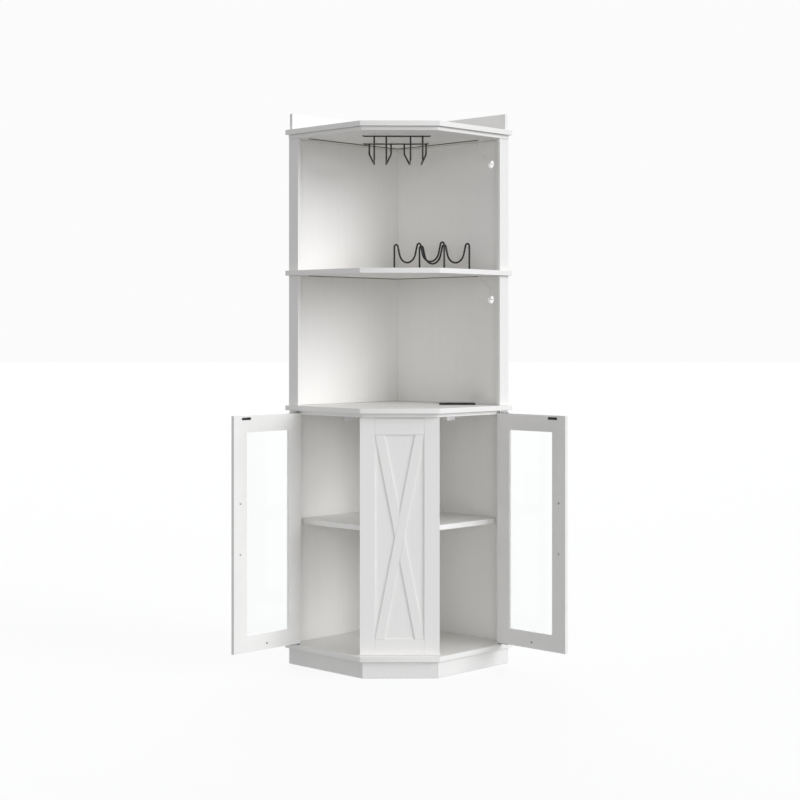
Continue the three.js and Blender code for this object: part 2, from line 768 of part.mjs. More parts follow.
function lightStrip(fromEdge, leftEnd, rightEnd, leadVia) {
  const outer = fromEdge - stripWide / 2;
  const inner = fromEdge + stripWide / 2;
  const corner = (inset) => new THREE.Vector2(0, frontY + depth - inset * root2);
  const chevron = prism([
    planPoint(1, facetRun - outer, rightEnd),
    corner(outer),
    planPoint(-1, facetRun - outer, leftEnd),
    planPoint(-1, facetRun - inner, leftEnd),
    corner(inner),
    planPoint(1, facetRun - inner, rightEnd),
  ], stripThick).translate(0, 0, -seatGap - stripThick);

  const leadAlong = facetRun - fromEdge;
  const leadZ = -seatGap - stripThick / 2;
  const corners = [
    place(1, leadAlong, rightEnd + leadBend, leadZ),
    place(1, leadAlong, rightEnd - leadStub, leadZ),
    leadVia,
    place(1, leadWallAlong, leadHoleInset, -leadHoleDrop),
    place(1, wallOuter, leadHoleInset, -leadHoleDrop),
  ];
  return join(chevron, tube(roundBends(corners, leadBend), leadRadius));
}

function addLightStrips() {
  const belowEnd = place(
    1, facetRun - topStripFromEdge, topStripRightEnd - leadStub, -topLeadDrop);
  const top = lightStrip(topStripFromEdge, topStripLeftEnd, topStripRightEnd, belowEnd);
  add(cabinet, 'light_strip_top', top, stripGrey, 0, 0, topLinerBase);

  const onWall = place(1, leadWallAlong, leadHoleInset, -middleLeadDrop);
  const middle = lightStrip(
    middleStripFromEdge, middleStripLeftEnd, middleStripRightEnd, onWall);
  add(cabinet, 'light_strip_middle', middle, stripGrey, 0, 0, middleBase);
}

// Power outlet: a rim on the counter, a body through the cut-outs, two round wells
function roundedPlate(long, wide, radius) {
  const x = long / 2 - radius;
  const y = wide / 2 - radius;
  const shape = new THREE.Shape();
  shape.absarc(x, y, radius, 0, Math.PI / 2);
  shape.absarc(-x, y, radius, Math.PI / 2, Math.PI);
  shape.absarc(-x, -y, radius, Math.PI, 3 * Math.PI / 2);
  shape.absarc(x, -y, radius, 3 * Math.PI / 2, 2 * Math.PI);
  return shape;
}

function addOutlet() {
  const rim = new THREE.ExtrudeGeometry(roundedPlate(outletLong, outletWide, outletCorner), {
    depth: outletRim - seatGap, curveSegments: bendSteps, bevelEnabled: false,
  }).translate(0, 0, seatGap);
  const body = box(-outletBodyLong / 2, -outletBodyWide / 2, -outletBodyDeep,
    outletBodyLong, outletBodyWide, outletBodyDeep + outletRim / 2);
  const wells = [-outletWellSpacing / 2, outletWellSpacing / 2].map((x) => (
    upright(outletWellRadius, outletWellDeep + cutOverrun, x, 0, outletRim - outletWellDeep)));
  const outlet = cut(join(rim, body), ...wells);
  add(cabinet, 'power_outlet', outlet, blackPlastic, outletMid.x, outletMid.y, counterTop);
}

addBoards();
addStorey('lower', bottomTop, lowerOpening, shelfPinHoles);
addStorey('middle', counterTop, middleOpening, leadHole);
addStorey('upper', middleTop, upperOpening, leadHole);
addGuards();
addPlinth();
addLowerShelf();
addPanel();
addDoors();
addCatches();
addStemwareRack();
addBottleRack();
addLightStrips();
addOutlet();

export default cabinet;
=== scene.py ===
# Studio scene of a white corner bar cabinet: two open bays above a counter, two glazed
# doors that stand open below it, wire racks for stemware and bottles, light strips and
# a power outlet. Lengths are given in millimetres and turned to metres where a shape is made.
import json
import math

import bmesh
import bpy
from mathutils import Matrix, Vector


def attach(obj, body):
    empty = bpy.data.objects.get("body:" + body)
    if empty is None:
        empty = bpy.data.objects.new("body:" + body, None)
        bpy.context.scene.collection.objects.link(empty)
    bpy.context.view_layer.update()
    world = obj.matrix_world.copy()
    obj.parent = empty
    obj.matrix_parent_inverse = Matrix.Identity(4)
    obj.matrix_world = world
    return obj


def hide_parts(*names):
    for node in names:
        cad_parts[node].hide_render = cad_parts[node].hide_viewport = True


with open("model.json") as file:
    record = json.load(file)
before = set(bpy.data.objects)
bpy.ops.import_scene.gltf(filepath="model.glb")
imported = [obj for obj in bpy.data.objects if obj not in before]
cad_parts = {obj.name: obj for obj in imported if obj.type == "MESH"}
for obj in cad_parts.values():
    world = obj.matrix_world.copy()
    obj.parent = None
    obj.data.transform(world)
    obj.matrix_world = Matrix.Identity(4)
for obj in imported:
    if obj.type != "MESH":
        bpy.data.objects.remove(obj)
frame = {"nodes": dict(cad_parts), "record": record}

scene = bpy.context.scene
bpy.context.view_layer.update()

MM = 0.001
ROOT2 = math.sqrt(2)

# Camera: level, at counter height, as the photograph was taken
IMAGE_SIDE_PX = 800
HORIZON_PX = 335.19
SENSOR_WIDTH = 36
FOCAL_LENGTH = 74.1
CAMERA_PLACE = (-0.06583, -5.45043, 1.0752)
CAMERA_HEADING = -0.0129

lens = bpy.data.cameras.new("camera")
lens.sensor_width = SENSOR_WIDTH
lens.lens = FOCAL_LENGTH
lens.shift_y = (HORIZON_PX - IMAGE_SIDE_PX / 2) / IMAGE_SIDE_PX
camera = bpy.data.objects.new("camera", lens)
camera.location = CAMERA_PLACE
camera.rotation_euler = (math.pi / 2, 0, CAMERA_HEADING)
scene.collection.objects.link(camera)
scene.camera = camera
scene.view_settings.view_transform = "Standard"

# Plan of the cabinet, in millimetres
WALL_RUN = 525
FRONT_WIDTH = 250
WALL_INSET = 2
WALL_THICK = 15
POST_WIDTH = 44
BOARD_THICK = 16
SEAT_GAP = 0.3
DEPTH = 2 * WALL_RUN / ROOT2 - FRONT_WIDTH / 2
FRONT_Y = -DEPTH / 2
FACET_RUN = WALL_RUN - FRONT_WIDTH / ROOT2
WALL_OUTER = FACET_RUN - WALL_INSET
WALL_INNER = WALL_OUTER - WALL_THICK
POST_INNER = WALL_OUTER - POST_WIDTH
BACK_CORNER_Y = FRONT_Y + DEPTH
COUNTER_LINER_BASE = 817
COUNTER_TOP = 846
MIDDLE_BASE = 1270
MIDDLE_TOP = MIDDLE_BASE + BOARD_THICK
TOP_LINER_BASE = 1717

# Doors, in millimetres. Start and end are measured from the pivot axis.
HINGE_REVEAL = 1.1
PIVOT_FROM_END = 7.2
DOOR_FREE_END = 19
DOOR_MEMBER_SHARE = 0.188
PIVOT_ALONG = POST_INNER - HINGE_REVEAL - PIVOT_FROM_END
DOOR_HALF_THICK = 6
DOOR_BASE = 75
DOOR_HEIGHT = 747
DOOR_START = -PIVOT_FROM_END
DOOR_END = PIVOT_ALONG - DOOR_FREE_END
DOOR_MEMBER = (DOOR_END - DOOR_START) * DOOR_MEMBER_SHARE

SIDES = (("left", -1), ("right", 1))


# Colours and materials
def linear(code):
    """Three linear values and alpha from an sRGB hex code."""
    values = [int(code[i:i + 2], 16) / 255 for i in (1, 3, 5)]
    light = [v / 12.92 if v <= 0.04045 else ((v + 0.055) / 1.055) ** 2.4 for v in values]
    return (*light, 1.0)


def node(tree, kind, links=None, **settings):
    """A shader node with its settings, and with values or other nodes' sockets on its inputs."""
    made = tree.nodes.new("ShaderNode" + kind)
    for name, value in settings.items():
        setattr(made, name, value)
    for key, value in (links or {}).items():
        socket = made.inputs[key]
        if isinstance(value, bpy.types.NodeSocket):
            tree.links.new(value, socket)
        else:
            socket.default_value = value
    return made


def blank_material(name):
    """A material's node tree with its two end nodes: (material, tree, shader)."""
    material = bpy.data.materials.new(name)
    material.use_nodes = True
    tree = material.node_tree
    tree.nodes.clear()
    shader = node(tree, "BsdfPrincipled")
    node(tree, "OutputMaterial", {"Surface": shader.outputs["BSDF"]})
    return material, tree, shader


def per_mm(*spans):
    """Texture scale that gives one feature per span, in millimetres, along x, y and z."""
    return tuple(1 / (span * MM) for span in spans)


WHITE_LOW, WHITE_HIGH = "#F0EEEA", "#F3F1ED"
COAT_IOR = 1.5
GLASS_IOR = 1.25
# Ratio of the clouds in a coat's tone to its grit
CLOUD_RATIO = 20


def grained_laminate(name, spans):
    """Melamine laminate, pressed with a faint wood grain: a satin white whose long streaks
    only show as a breath of tone and a soft break in the gloss. Real pores are under 1 mm
    wide, so the streaks are drawn 7 mm wide to show at all."""
    material, tree, shader = blank_material(name)
    place = node(tree, "TexCoord").outputs["Object"]
    spread = node(tree, "Mapping", {"Vector": place, "Scale": per_mm(*spans)}).outputs["Vector"]
    streak = node(tree, "TexNoise", {"Vector": spread, "Scale": 1.0, "Detail": 4.0,
                                     "Roughness": 0.6, "Distortion": 0.4}).outputs["Fac"]
    fine = node(tree, "Mapping", {"Vector": spread, "Scale": (4, 4, 4)}).outputs["Vector"]
    pore = node(tree, "TexNoise", {"Vector": fine, "Scale": 1.0, "Detail": 2.0}).outputs["Fac"]
    tone = node(tree, "ValToRGB", {"Fac": streak})
    tone.color_ramp.elements[0].position = 0.3
    tone.color_ramp.elements[0].color = linear(WHITE_LOW)
    tone.color_ramp.elements[1].position = 0.7
    tone.color_ramp.elements[1].color = linear(WHITE_HIGH)
    tree.links.new(tone.outputs["Color"], shader.inputs["Base Color"])
    gloss = node(tree, "MapRange", {"Value": pore, "To Min": 0.4, "To Max": 0.52})
    tree.links.new(gloss.outputs["Result"], shader.inputs["Roughness"])
    relief = node(tree, "Bump", {"Height": pore, "Strength": 0.25, "Distance": 0.05 * MM})
    tree.links.new(relief.outputs["Normal"], shader.inputs["Normal"])
    shader.inputs["IOR"].default_value = COAT_IOR
    return material


def lacquered_board():
    """MDF, routed and sprayed with white lacquer: smooth, with the faint orange peel of
    a sprayed coat, about 3 mm from dimple to dimple, and no grain."""
    material, tree, shader = blank_material("lacquered_mdf")
    place = node(tree, "TexCoord").outputs["Object"]
    peel = node(tree, "TexNoise", {"Vector": place, "Scale": per_mm(3)[0],
                                   "Detail": 1.5}).outputs["Fac"]
    cloud = node(tree, "TexNoise", {"Vector": place, "Scale": per_mm(90)[0],
                                    "Detail": 3.0}).outputs["Fac"]
    tone = node(tree, "ValToRGB", {"Fac": cloud})
    tone.color_ramp.elements[0].position = 0.35
    tone.color_ramp.elements[0].color = linear(WHITE_LOW)
    tone.color_ramp.elements[1].position = 0.65
    tone.color_ramp.elements[1].color = linear(WHITE_HIGH)
    tree.links.new(tone.outputs["Color"], shader.inputs["Base Color"])
    gloss = node(tree, "MapRange", {"Value": cloud, "To Min": 0.34, "To Max": 0.42})
    tree.links.new(gloss.outputs["Result"], shader.inputs["Roughness"])
    relief = node(tree, "Bump", {"Height": peel, "Strength": 0.2, "Distance": 0.04 * MM})
    tree.links.new(relief.outputs["Normal"], shader.inputs["Normal"])
    shader.inputs["IOR"].default_value = COAT_IOR
    return material


def float_glass():
    """Clear float glass: almost nothing but its reflections and a trace of green. The index is
    lower than real, so that the white room doesn't veil the panes."""
    material, tree, shader = blank_material("clear_float_glass")
    place = node(tree, "TexCoord").outputs["Object"]
    film = node(tree, "TexNoise", {"Vector": place, "Scale": per_mm(60)[0],
                                   "Detail": 2.0}).outputs["Fac"]
    gloss = node(tree, "MapRange", {"Value": film, "To Min": 0.0, "To Max": 0.02})
    tree.links.new(gloss.outputs["Result"], shader.inputs["Roughness"])
    shader.inputs["Base Color"].default_value = linear("#FDFFFE")
    shader.inputs["Transmission Weight"].default_value = 1.0
    shader.inputs["IOR"].default_value = GLASS_IOR
    return material


def speckled_coat(name, dark, pale, grit_mm, rough, height_mm, metallic=0.0):
    """A coat or moulding of one colour whose fine grit breaks up the gloss. grit_mm is the
    distance from grain to grain, drawn no finer than shows."""
    material, tree, shader = blank_material(name)
    place = node(tree, "TexCoord").outputs["Object"]
    grit = node(tree, "TexNoise", {"Vector": place, "Scale": per_mm(grit_mm)[0],
                                   "Detail": 2.0}).outputs["Fac"]
    cloud = node(tree, "TexNoise", {"Vector": place, "Scale": per_mm(grit_mm * CLOUD_RATIO)[0],
                                    "Detail": 3.0}).outputs["Fac"]
    tone = node(tree, "ValToRGB", {"Fac": cloud})
    tone.color_ramp.elements[0].position = 0.3
    tone.color_ramp.elements[0].color = linear(dark)
    tone.color_ramp.elements[1].position = 0.7
    tone.color_ramp.elements[1].color = linear(pale)
    tree.links.new(tone.outputs["Color"], shader.inputs["Base Color"])
    gloss = node(tree, "MapRange", {"Value": grit, "To Min": rough - 0.06, "To Max": rough + 0.06})
    tree.links.new(gloss.outputs["Result"], shader.inputs["Roughness"])
    relief = node(tree, "Bump", {"Height": grit, "Strength": 0.4, "Distance": height_mm * MM})
    tree.links.new(relief.outputs["Normal"], shader.inputs["Normal"])
    shader.inputs["Metallic"].default_value = metallic
    if not metallic:
        shader.inputs["IOR"].default_value = COAT_IOR
    return material


STREAK_WIDE, STREAK_LONG = 7, 320
LAMINATE_UPRIGHT = grained_laminate("white_melamine_upright_grain",
                                    (STREAK_WIDE, STREAK_WIDE, STREAK_LONG))
LAMINATE_LEVEL = grained_laminate("white_melamine_level_grain",
                                  (STREAK_LONG, STREAK_WIDE, STREAK_WIDE))
LAMINATE_RAIL = grained_laminate("white_melamine_rail_grain",
                                 (STREAK_LONG, STREAK_LONG, STREAK_WIDE))
LACQUER = lacquered_board()
GLASS = float_glass()
# Black powder coat on steel wire: a matt skin with the fine orange peel of baked powder
POWDER_COAT = speckled_coat("black_powder_coat", "#0E0E0F", "#161617", 0.8, 0.42, 0.03)
# Black ABS with a spark-eroded mould texture: dull, even and a little grey in the light
MOULDED_ABS = speckled_coat("black_moulded_abs", "#101011", "#171718", 0.7, 0.5, 0.02)
# White ABS, smooth from a polished mould: a shade greyer and a little glossier than the boards
WHITE_ABS = speckled_coat("white_moulded_abs", "#D5D3CF", "#DAD8D4", 1.0, 0.32, 0.01)
# Zinc plate on steel: pale grey metal with the soft cloudiness of plating
ZINC = speckled_coat("zinc_plated_steel", "#9FA2A4", "#B9BCBE", 1.2, 0.34, 0.01, metallic=1.0)
# Black rubber: the dullest of the blacks
RUBBER = speckled_coat("black_rubber", "#141414", "#1B1B1B", 0.9, 0.75, 0.03)
# Solder mask on a flexible circuit strip: dark, with a slight wet gloss
CIRCUIT_TAPE = speckled_coat("black_circuit_tape", "#1C1C1E", "#27272A", 1.0, 0.38, 0.01)
# Phosphor over a light chip: a warm dull yellow while the light is off
PHOSPHOR = speckled_coat("chip_phosphor", "#D9C067", "#E3CE80", 0.8, 0.55, 0.01)
# PVC round a thin lead: pale and slightly glossy
PVC_LEAD = speckled_coat("pale_pvc_lead", "#E2E2E0", "#EAEAE8", 1.0, 0.4, 0.01)
# Neutral-cure silicone round the panes: milky and soft in gloss
SILICONE = speckled_coat("milky_silicone", "#D5D8D6", "#DEE0DE", 1.5, 0.45, 0.02)


# Places and directions
def place(side, along, inset, z):
    """A point along a side facet from its front corner, and behind the line of that facet."""
    return MM * Vector((side * (FRONT_WIDTH / 2 + (along - inset) / ROOT2),
                        FRONT_Y + (along + inset) / ROOT2, z))


def axes(origin, x_axis, y_axis):
    """A matrix from millimetres in local axes, with z upright, to metres in the frame."""
    matrix = Matrix.Identity(4)
    for row in range(2):
        matrix[row][0] = x_axis[row] * MM
        matrix[row][1] = y_axis[row] * MM
    matrix[2][2] = MM
    matrix.translation = origin
    return matrix


def facet_axes(side):
    """x runs along the side facet, y inwards."""
    return axes(place(side, 0, 0, 0), (side / ROOT2, 1 / ROOT2), (-side / ROOT2, 1 / ROOT2))


def door_axes(side):
    """x runs from the pivot to the free end, y out of the outer face, z up from the lower edge."""
    return axes(place(side, PIVOT_ALONG, DOOR_HALF_THICK, DOOR_BASE),
                (side / ROOT2, -1 / ROOT2), (side / ROOT2, 1 / ROOT2))


WORLD_MM = axes((0, 0, 0), (1, 0), (0, 1))


# Shapes, added to a bmesh in millimetres
def add_rings(bm, rings):
    """A closed skin over rings of points, with flat ends."""
    rows = [[bm.verts.new(point) for point in ring] for ring in rings]
    count = len(rows[0])
    for lower, upper in zip(rows, rows[1:]):
        for i in range(count):
            j = (i + 1) % count
            bm.faces.new((lower[i], lower[j], upper[j], upper[i]))
    bm.faces.new(reversed(rows[0]))
    bm.faces.new(rows[-1])


def ring_at(centre, across, up, radius, sides):
    turns = [2 * math.pi * i / sides for i in range(sides)]
    return [centre + radius * (math.cos(t) * across + math.sin(t) * up) for t in turns]


def add_lathe(bm, origin, axis, profile, sides=32):
    """A turned shape: profile is (radius, height) pairs along the axis."""
    axis = Vector(axis).normalized()
    across = axis.orthogonal().normalized()
    up = axis.cross(across)
    origin = Vector(origin)
    add_rings(bm, [ring_at(origin + h * axis, across, up, r, sides) for r, h in profile])


def rounded_rod(radius, long, round_over, steps=4):
    """Profile of a rod whose two ends are rounded over."""
    turns = [math.pi / 2 * i / steps for i in range(steps + 1)]
    start = [(radius - round_over * (1 - math.sin(t)), round_over * (1 - math.cos(t)))
             for t in turns]
    end = [(r, long - h) for r, h in reversed(start)]
    return start + end


# Turns of the rings that dome the end of a wire, as shares of a quarter turn
DOME_SHARES = (0.03, 1.06 / 3, 2.03 / 3)


def add_tube(bm, points, radius, sides=16):
    """A round wire along points, with domed ends."""
    points = [Vector(p) for p in points]
    last = len(points) - 1
    tangents = [(points[min(i + 1, last)] - points[max(i - 1, 0)]).normalized()
                for i in range(last + 1)]
    turns = [math.pi / 2 * share for share in DOME_SHARES]
    across = tangents[0].orthogonal().normalized()

    def dome_ring(point, outwards, turn, up):
        centre = point + outwards * radius * math.sin(turn)
        return ring_at(centre, across, up, radius * math.cos(turn), sides)

    up = tangents[0].cross(across)
    rings = [dome_ring(points[0], -tangents[0], turn, up) for turn in reversed(turns)]
    for point, tangent in zip(points, tangents):
        across = (across - tangent * across.dot(tangent)).normalized()
        up = tangent.cross(across)
        rings.append(ring_at(point, across, up, radius, sides))
    rings += [dome_ring(points[last], tangents[last], turn, up) for turn in turns]
    add_rings(bm, rings)


def round_bends(corners, radius, steps=8):
    """The corners of a path, each replaced by an arc."""
    corners = [Vector(c) for c in corners]
    points = [corners[0]]
    for before, corner, after in zip(corners, corners[1:], corners[2:]):
        back = (before - corner).normalized()
        ahead = (after - corner).normalized()
        half = back.angle(ahead) / 2
        reach = radius / math.tan(half)
        centre = corner + (back + ahead).normalized() * radius / math.sin(half)
        start = corner + back * reach - centre
        end = corner + ahead * reach - centre
        turn = start.angle(end)
        for step in range(steps + 1):
            share = step / steps
            spoke = start * math.sin((1 - share) * turn) + end * math.sin(share * turn)
            points.append(centre + spoke / math.sin(turn))
    points.append(corners[-1])
    return points


def add_block(bm, low, high, round_over=0.0, steps=2):
    """A block between two corners, with its edges rounded over."""
    made = bmesh.ops.create_cube(bm, size=1)["verts"]
    low, high = Vector(low), Vector(high)
    for vert in made:
        vert.co = Vector([low[i] if vert.co[i] < 0 else high[i] for i in range(3)])
    if round_over:
        edges = list({edge for vert in made for edge in vert.link_edges})
        bmesh.ops.bevel(bm, geom=edges, offset=round_over, segments=steps, profile=0.5,
                        affect="EDGES", clamp_overlap=True)


def add_plate(bm, centre, size, corner, round_over, steps=6, layers=4):
    """A level plate with rounded corners and a rounded upper edge."""
    x, y, z = centre
    reach_x, reach_y, height = size[0] / 2 - corner, size[1] / 2 - corner, size[2]
    sections = [(corner, z)]
    for layer in range(layers + 1):
        turn = math.pi / 2 * layer / layers
        sections.append((corner - round_over * (1 - math.cos(turn)),
                         z + height - round_over * (1 - math.sin(turn))))
    rings = []
    for radius, level in sections:
        ring = []
        for quarter, (sx, sy) in enumerate(((1, 1), (-1, 1), (-1, -1), (1, -1))):
            for step in range(steps + 1):
                turn = math.pi / 2 * (quarter + step / steps)
                ring.append(Vector((x + sx * reach_x + radius * math.cos(turn),
                                    y + sy * reach_y + radius * math.sin(turn), level)))
        rings.append(ring)
    add_rings(bm, rings)


# Pieces
BODY_OF = {name: body for body, names in frame["record"]["behaviour"]["bodies"].items()
           for name in names}
# An edge is eased where its faces meet at more than this angle, in degrees
SHARP_ANGLE = 30
# Faces of one plane are merged up to this angle, in degrees, and points up to this distance
FLAT_ANGLE = 0.5
SAME_PLACE = 0.001


def finish_piece(name, bm, material, body, slot, replaces=(), soft_angle=35):
    """Turns a bmesh in metres into a piece that rides on a body."""
    # A transform leaves the old normals, so they are renewed before the faces are turned out
    bm.normal_update()
    bmesh.ops.recalc_face_normals(bm, faces=bm.faces)
    mesh = bpy.data.meshes.new(name)
    bm.to_mesh(mesh)
    bm.free()
    mesh.shade_smooth()
    mesh.set_sharp_from_angle(angle=math.radians(soft_angle))
    mesh.materials.append(material)
    made = bpy.data.objects.new(name, mesh)
    scene.collection.objects.link(made)
    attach(made, body)
    if replaces:
        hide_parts(*replaces)
    return made


def local_piece(name, bm, matrix, *args, **settings):
    """The same for a bmesh in millimetres in local axes."""
    bm.transform(matrix)
    return finish_piece(name, bm, *args, **settings)


def eased_copy(solid, round_over, steps=2):
    """The solid's own shape with its sharp edges eased, in metres."""
    bm = bmesh.new()
    bm.from_mesh(frame["nodes"][solid].data)
    bmesh.ops.remove_doubles(bm, verts=bm.verts, dist=SAME_PLACE * MM)
    bmesh.ops.dissolve_limit(bm, angle_limit=math.radians(FLAT_ANGLE), verts=bm.verts,
                             edges=bm.edges)
    sharp = [edge for edge in bm.edges if len(edge.link_faces) == 2
             and edge.calc_face_angle(0) > math.radians(SHARP_ANGLE)]
    bmesh.ops.bevel(bm, geom=sharp, offset=round_over * MM, segments=steps, profile=0.5,
                    affect="EDGES", clamp_overlap=True)
    return bm


def carved(bm, tool):
    """One bmesh less another, both in millimetres."""
    shapes = []
    for shape in (bm, tool):
        bmesh.ops.recalc_face_normals(shape, faces=shape.faces)
        mesh = bpy.data.meshes.new("carving")
        shape.to_mesh(mesh)
        shape.free()
        holder = bpy.data.objects.new("carving", mesh)
        scene.collection.objects.link(holder)
        shapes.append(holder)
    whole, cutter = shapes
    change = whole.modifiers.new("carve", "BOOLEAN")
    change.operation = "DIFFERENCE"
    change.solver = "EXACT"
    change.object = cutter
    bpy.context.view_layer.update()
    result = bmesh.new()
    result.from_object(whole, bpy.context.evaluated_depsgraph_get())
    for holder in shapes:
        mesh = holder.data
        bpy.data.objects.remove(holder)
        bpy.data.meshes.remove(mesh)
    return result


# White boards: every one keeps its solid's shape and gets its own small radius along the edges.
# Walls, liners and plinth are cut square and eased with a wider pass, which draws a dark line at
# each joint, and the thin slats of the centre panel are barely eased.
LEVEL_BOARDS = {"bottom_board", "counter_liner", "counter_board", "middle_shelf", "top_liner",
                "top_board", "lower_shelf"}
RAIL_WORDS = ("plinth", "guard", "rail")
BAND_RADIUS = 0.5
EASED_RADIUS = 1.5
LINER_RADIUS = 2.2
SLAT_RADIUS = 0.25
ROUTED_RADIUS = 1.0
PANE_RADIUS = 0.4
HINGE_RADIUS = 0.35
BOARD_SOFT_ANGLE = 20

for part in frame["record"]["subparts"]:
    solid, slot = part["node"], part["material_slot"]
    if slot != "white_board":
        continue
    if solid.startswith("door_"):
        look, radius = LACQUER, ROUTED_RADIUS
    elif solid in LEVEL_BOARDS:
        look, radius = LAMINATE_LEVEL, BAND_RADIUS
    elif any(word in solid for word in RAIL_WORDS):
        look, radius = LAMINATE_RAIL, BAND_RADIUS
    else:
        look, radius = LAMINATE_UPRIGHT, BAND_RADIUS
    if solid.startswith("panel_"):
        radius = SLAT_RADIUS
    elif "_wall_" in solid:
        radius = EASED_RADIUS
    elif solid.endswith("_liner") or solid.startswith("plinth_"):
        radius = LINER_RADIUS
    finish_piece(f"board_{solid}", eased_copy(solid, radius), look, BODY_OF[solid], slot, (solid,),
                 BOARD_SOFT_ANGLE)

# Panes
for name, side in SIDES:
    solid = f"door_{name}_glass"
    finish_piece(f"pane_{name}", eased_copy(solid, PANE_RADIUS, 1), GLASS, BODY_OF[solid],
                 "clear_glass", (solid,), BOARD_SOFT_ANGLE)


# Screw heads: a pan head with a cross drive, as a template whose lengths are shares of its radius
def pan_head():
    rim, crown = 0.14, 0.34
    slot_long, slot_wide, slot_floor, slot_top = 0.56, 0.11, 0.2, 0.7
    head = bmesh.new()
    turns = [math.radians(degrees) for degrees in range(0, 86, 17)]
    profile = [(1, 0)] + [(math.cos(t), rim + crown * math.sin(t)) for t in turns]
    add_lathe(head, (0, 0, 0), (0, 0, 1), profile, 28)
    for x, y in ((slot_long, slot_wide), (slot_wide, slot_long)):
        slot = bmesh.new()
        add_block(slot, (-x, -y, slot_floor), (x, y, slot_top))
        head = carved(head, slot)
    return head


PAN_HEAD = pan_head()


def add_screw(bm, origin, axis, radius, turn=0.4):
    """A copy of the screw head, standing on origin and facing along axis."""
    axis = Vector(axis)
    spin = Matrix.Rotation(turn, 4, "Z")
    facing = axis.to_track_quat("Z", "Y").to_matrix().to_4x4()
    matrix = Matrix.Translation(Vector(origin)) @ facing @ Matrix.Scale(radius, 4) @ spin
    copies = {vert: bm.verts.new(matrix @ vert.co) for vert in PAN_HEAD.verts}
    for face in PAN_HEAD.faces:
        bm.faces.new([copies[vert] for vert in face.verts])


# Door furniture, in the door's own axes
OUTER_FACE = DOOR_HALF_THICK + SEAT_GAP
INNER_FACE = -OUTER_FACE
HANDLE_X = DOOR_END - DOOR_MEMBER / 2
HANDLE_HEIGHTS = (311, 471)
HANDLE_OUT = DOOR_HALF_THICK + 20
HANDLE_OVERHANG = 14
HANDLE_RADIUS = 4
HANDLE_ROUND = 1.6
# A flared foot and its neck: (radius, distance from the door)
FOOT_PROFILE = [(4.6, 0), (5, 0.4), (5, 1.0), (4.4, 1.6), (3.6, 2.2),
                (3.6, HANDLE_OUT - OUTER_FACE)]
PULL_HEAD = 3.5
PULL_SHANK = (1.9, 18.6, 0.5)
PULL_TURNS = (0.3, 0.9)
STRIKE_FROM_END = 33
STRIKE_LONG = 36
STRIKE_TALL = 8
STRIKE_FROM_TOP = 6
STRIKE_THICK = 1.2
STRIKE_ROUND = 0.5
STRIKE_SCREW_INSET = 7
STRIKE_SCREW_SINK = 0.1
STRIKE_SCREW = 2.6
STUD_PLACE = (138.5, 0.4 - DOOR_HALF_THICK, 19.5)
STUD_SHAPE = (2.6, 1.6, 0.6)
HINGE_THICK = 2.4
HINGE_SCREWS_X = (12.5, 28.5)
HINGE_SCREW = 2.9
HINGE_SCREW_SINK = 0.3
HINGE_TURN = 0.2
BEAD_FACE = DOOR_HALF_THICK - 0.7
BEAD_REACH = 6.6
BEAD_WIDE = 2.6
BEAD_TALL = 0.5


def add_handle(name, matrix, body):
    bar = bmesh.new()
    low, high = HANDLE_HEIGHTS
    add_lathe(bar, (HANDLE_X, HANDLE_OUT, low - HANDLE_OVERHANG), (0, 0, 1),
              rounded_rod(HANDLE_RADIUS, high - low + 2 * HANDLE_OVERHANG, HANDLE_ROUND), 40)
    for z in HANDLE_HEIGHTS:
        add_lathe(bar, (HANDLE_X, OUTER_FACE, z), (0, 1, 0), FOOT_PROFILE, 36)
    local_piece(f"bar_pull_{name}", bar, matrix, POWDER_COAT, body, "black_wire",
                (f"handle_{name}",))
    for level, z, turn in zip(("lower", "upper"), HANDLE_HEIGHTS, PULL_TURNS):
        screw = bmesh.new()
        add_screw(screw, (HANDLE_X, INNER_FACE, z), (0, -1, 0), PULL_HEAD, turn)
        add_lathe(screw, (HANDLE_X, INNER_FACE, z), (0, 1, 0), rounded_rod(*PULL_SHANK), 20)
        local_piece(f"pull_screw_{level}_{name}", screw, matrix, ZINC, body, "grey_steel",
                    (f"handle_screw_{level}_{name}",))


def add_strike(name, matrix, body):
    strike = bmesh.new()
    end, top = DOOR_END - STRIKE_FROM_END, DOOR_HEIGHT - STRIKE_FROM_TOP
    start, bottom = end - STRIKE_LONG, top - STRIKE_TALL
    screw_face = INNER_FACE - STRIKE_THICK + STRIKE_SCREW_SINK
    for x in (start + STRIKE_SCREW_INSET, end - STRIKE_SCREW_INSET):
        add_screw(strike, (x, screw_face, (bottom + top) / 2), (0, -1, 0), STRIKE_SCREW)
    # The rounded block comes last: shapes added after a bevel get their points in an order
    # that changes from run to run
    add_block(strike, (start, INNER_FACE - STRIKE_THICK, bottom), (end, INNER_FACE, top),
              STRIKE_ROUND)
    local_piece(f"strike_{name}", strike, matrix, POWDER_COAT, body, "black_wire",
                (f"strike_plate_{name}",))


def add_hinges(name, matrix, body):
    for level, edge, sign in (("lower", 0, -1), ("upper", DOOR_HEIGHT, 1)):
        solid = f"pivot_{level}_{name}"
        finish_piece(f"hinge_{level}_{name}", eased_copy(solid, HINGE_RADIUS), ZINC, body,
                     "grey_steel", (solid,))
        screws = bmesh.new()
        z = edge + sign * (SEAT_GAP + HINGE_THICK - HINGE_SCREW_SINK)
        for x in HINGE_SCREWS_X:
            add_screw(screws, (x, 0, z), (0, 0, sign), HINGE_SCREW, HINGE_TURN * x)
        local_piece(f"hinge_screws_{level}_{name}", screws, matrix, ZINC, body, "grey_steel")


